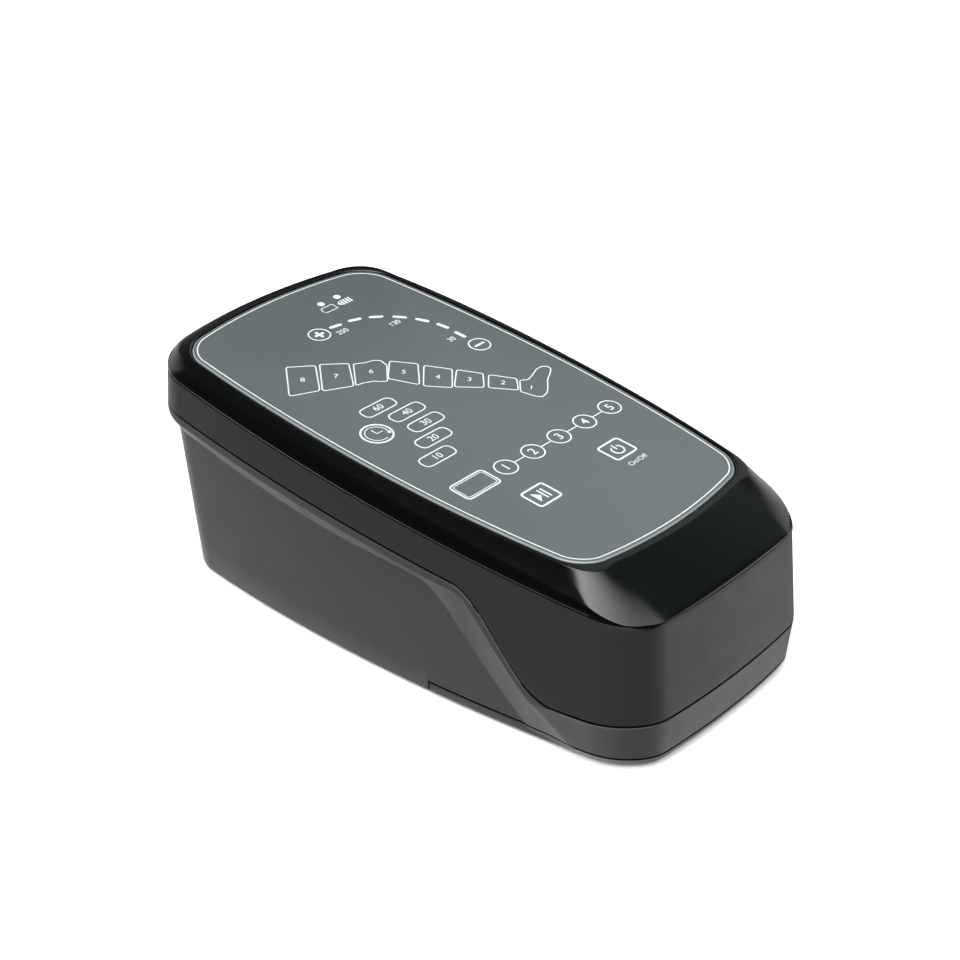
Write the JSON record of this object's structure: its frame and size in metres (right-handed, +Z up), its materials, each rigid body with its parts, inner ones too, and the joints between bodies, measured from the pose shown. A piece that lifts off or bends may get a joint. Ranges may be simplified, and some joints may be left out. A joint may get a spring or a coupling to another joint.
{
  "type": "compression therapy pump",
  "caption": "Portable wedge-shaped air compression pump with a sloping touch panel, battery bay, twin diaphragm pump, valve bank and rear air outlets.",
  "frame": {"origin": "centre of the footprint, on the surface that the feet stand on", "axes": "+X to the user's right, +Y to the back, +Z up; the panel slopes down towards -Y"},
  "size_m": [0.1166, 0.224, 0.0852],
  "materials": {
    "gloss_black": "polished, deep black",
    "panel_grey": "satin grey lens printed on its back",
    "foam_black": "closed-cell foam",
    "white_plastic": "natural acetal",
    "circuit_board": "solder-resist green",
    "led_lens": "clear",
    "steel": "zinc plated",
    "matte_black": "fine spark texture",
    "dark_grey": "fine spark texture",
    "rubber_black": "moulded",
    "black_plastic": "moulded",
    "cell_wrap": "shrink sleeve",
    "capacitor_sleeve": "sleeve",
    "motor_steel": "drawn steel can",
    "brass_cam": "turned",
    "cast_alloy": "die cast",
    "filter_felt": "felt",
    "copper_winding": "enamelled copper",
    "plunger_steel": "ground",
    "clear_tube": "clear flexible tube"
  },
  "bodies": {
    "housing": {"top_bezel": "gloss_black", "control_panel": "panel_grey", "panel_seal": "foam_black", "panel_frame": "white_plastic", "display_board": "circuit_board", "touch_pads": "foam_black", "panel_leds": "led_lens", "board_screws": "steel", "upper_housing": "matte_black", "lower_housing": "dark_grey", "housing_screws": "steel", "rear_feet": "rubber_black", "battery_tray": "black_plastic", "battery_cells": "cell_wrap", "battery_end_plates": "white_plastic", "main_board": "circuit_board", "main_board_screws": "steel", "board_chips": "black_plastic", "board_capacitors": "capacitor_sleeve", "buzzer": "black_plastic", "pressure_sensor": "black_plastic", "port_bay": "black_plastic", "outlet_socket": "black_plastic", "dc_jack": "black_plastic", "motor_case": "motor_steel", "crankcase": "cast_alloy", "left_diaphragm": "rubber_black", "right_diaphragm": "rubber_black", "pump_heads": "black_plastic", "head_screws": "steel", "pump_bracket": "cast_alloy", "pump_grommets": "rubber_black", "pump_screws": "steel", "inlet_filter": "filter_felt", "valve_manifold": "white_plastic", "valve_frames": "steel", "valve_coils": "copper_winding", "valve_springs": "steel", "air_tubes": "clear_tube", "pump_hoses": "clear_tube", "relief_body": "white_plastic", "relief_spring": "steel"},
    "battery_cover": {"battery_cover": "dark_grey", "front_feet": "rubber_black", "battery_pad": "foam_black"},
    "rotor": {"motor_shaft": "steel", "eccentric": "brass_cam"},
    "left_rod": {"left_rod": "white_plastic"},
    "right_rod": {"right_rod": "white_plastic"},
    "relief_poppet": {"relief_poppet": "plunger_steel"},
    "valve_plunger_1": {"valve_plunger_1": "plunger_steel"},
    "valve_plunger_2": {"valve_plunger_2": "plunger_steel"},
    "valve_plunger_3": {"valve_plunger_3": "plunger_steel"},
    "valve_plunger_4": {"valve_plunger_4": "plunger_steel"},
    "valve_plunger_5": {"valve_plunger_5": "plunger_steel"},
    "valve_plunger_6": {"valve_plunger_6": "plunger_steel"},
    "valve_plunger_7": {"valve_plunger_7": "plunger_steel"},
    "valve_plunger_8": {"valve_plunger_8": "plunger_steel"}
  },
  "joints": [
    {"name": "battery_cover_slide", "type": "slide", "parent": "housing", "child": "battery_cover", "axis": [0, -1, 0], "range_m": [0, 0.088]},
    {"name": "motor_spin", "type": "hinge", "parent": "housing", "child": "rotor", "pos_m": [0, 0.0309, 0.0312], "axis": [0, 1, 0], "continuous": true},
    {"name": "left_rod_stroke", "type": "slide", "parent": "housing", "child": "left_rod", "axis": [1, 0, 0], "range_m": [-0.0016, 0.0016], "deforming": ["left_diaphragm"]},
    {"name": "right_rod_stroke", "type": "slide", "parent": "housing", "child": "right_rod", "axis": [1, 0, 0], "range_m": [-0.0016, 0.0016], "deforming": ["right_diaphragm"]},
    {"name": "valve_1_lift", "type": "slide", "parent": "housing", "child": "valve_plunger_1", "axis": [0, 0, 1], "range_m": [0, 0.0015], "stiffness_N_per_m": 150, "springref_m": -0.0015, "deforming": ["valve_springs"]},
    {"name": "valve_2_lift", "type": "slide", "parent": "housing", "child": "valve_plunger_2", "axis": [0, 0, 1], "range_m": [0, 0.0015], "stiffness_N_per_m": 150, "springref_m": -0.0015, "deforming": ["valve_springs"]},
    {"name": "valve_3_lift", "type": "slide", "parent": "housing", "child": "valve_plunger_3", "axis": [0, 0, 1], "range_m": [0, 0.0015], "stiffness_N_per_m": 150, "springref_m": -0.0015, "deforming": ["valve_springs"]},
    {"name": "valve_4_lift", "type": "slide", "parent": "housing", "child": "valve_plunger_4", "axis": [0, 0, 1], "range_m": [0, 0.0015], "stiffness_N_per_m": 150, "springref_m": -0.0015, "deforming": ["valve_springs"]},
    {"name": "valve_5_lift", "type": "slide", "parent": "housing", "child": "valve_plunger_5", "axis": [0, 0, 1], "range_m": [0, 0.0015], "stiffness_N_per_m": 150, "springref_m": -0.0015, "deforming": ["valve_springs"]},
    {"name": "valve_6_lift", "type": "slide", "parent": "housing", "child": "valve_plunger_6", "axis": [0, 0, 1], "range_m": [0, 0.0015], "stiffness_N_per_m": 150, "springref_m": -0.0015, "deforming": ["valve_springs"]},
    {"name": "valve_7_lift", "type": "slide", "parent": "housing", "child": "valve_plunger_7", "axis": [0, 0, 1], "range_m": [0, 0.0015], "stiffness_N_per_m": 150, "springref_m": -0.0015, "deforming": ["valve_springs"]},
    {"name": "valve_8_lift", "type": "slide", "parent": "housing", "child": "valve_plunger_8", "axis": [0, 0, 1], "range_m": [0, 0.0015], "stiffness_N_per_m": 150, "springref_m": -0.0015, "deforming": ["valve_springs"]},
    {"name": "relief_lift", "type": "slide", "parent": "housing", "child": "relief_poppet", "axis": [0, -1, 0], "range_m": [0, 0.001], "stiffness_N_per_m": 150, "springref_m": -0.0015, "deforming": ["relief_spring"]}
  ],
  "couplings": [
    {"joint": "right_rod_stroke", "follows": "left_rod_stroke", "ratio": 1}
  ]
}
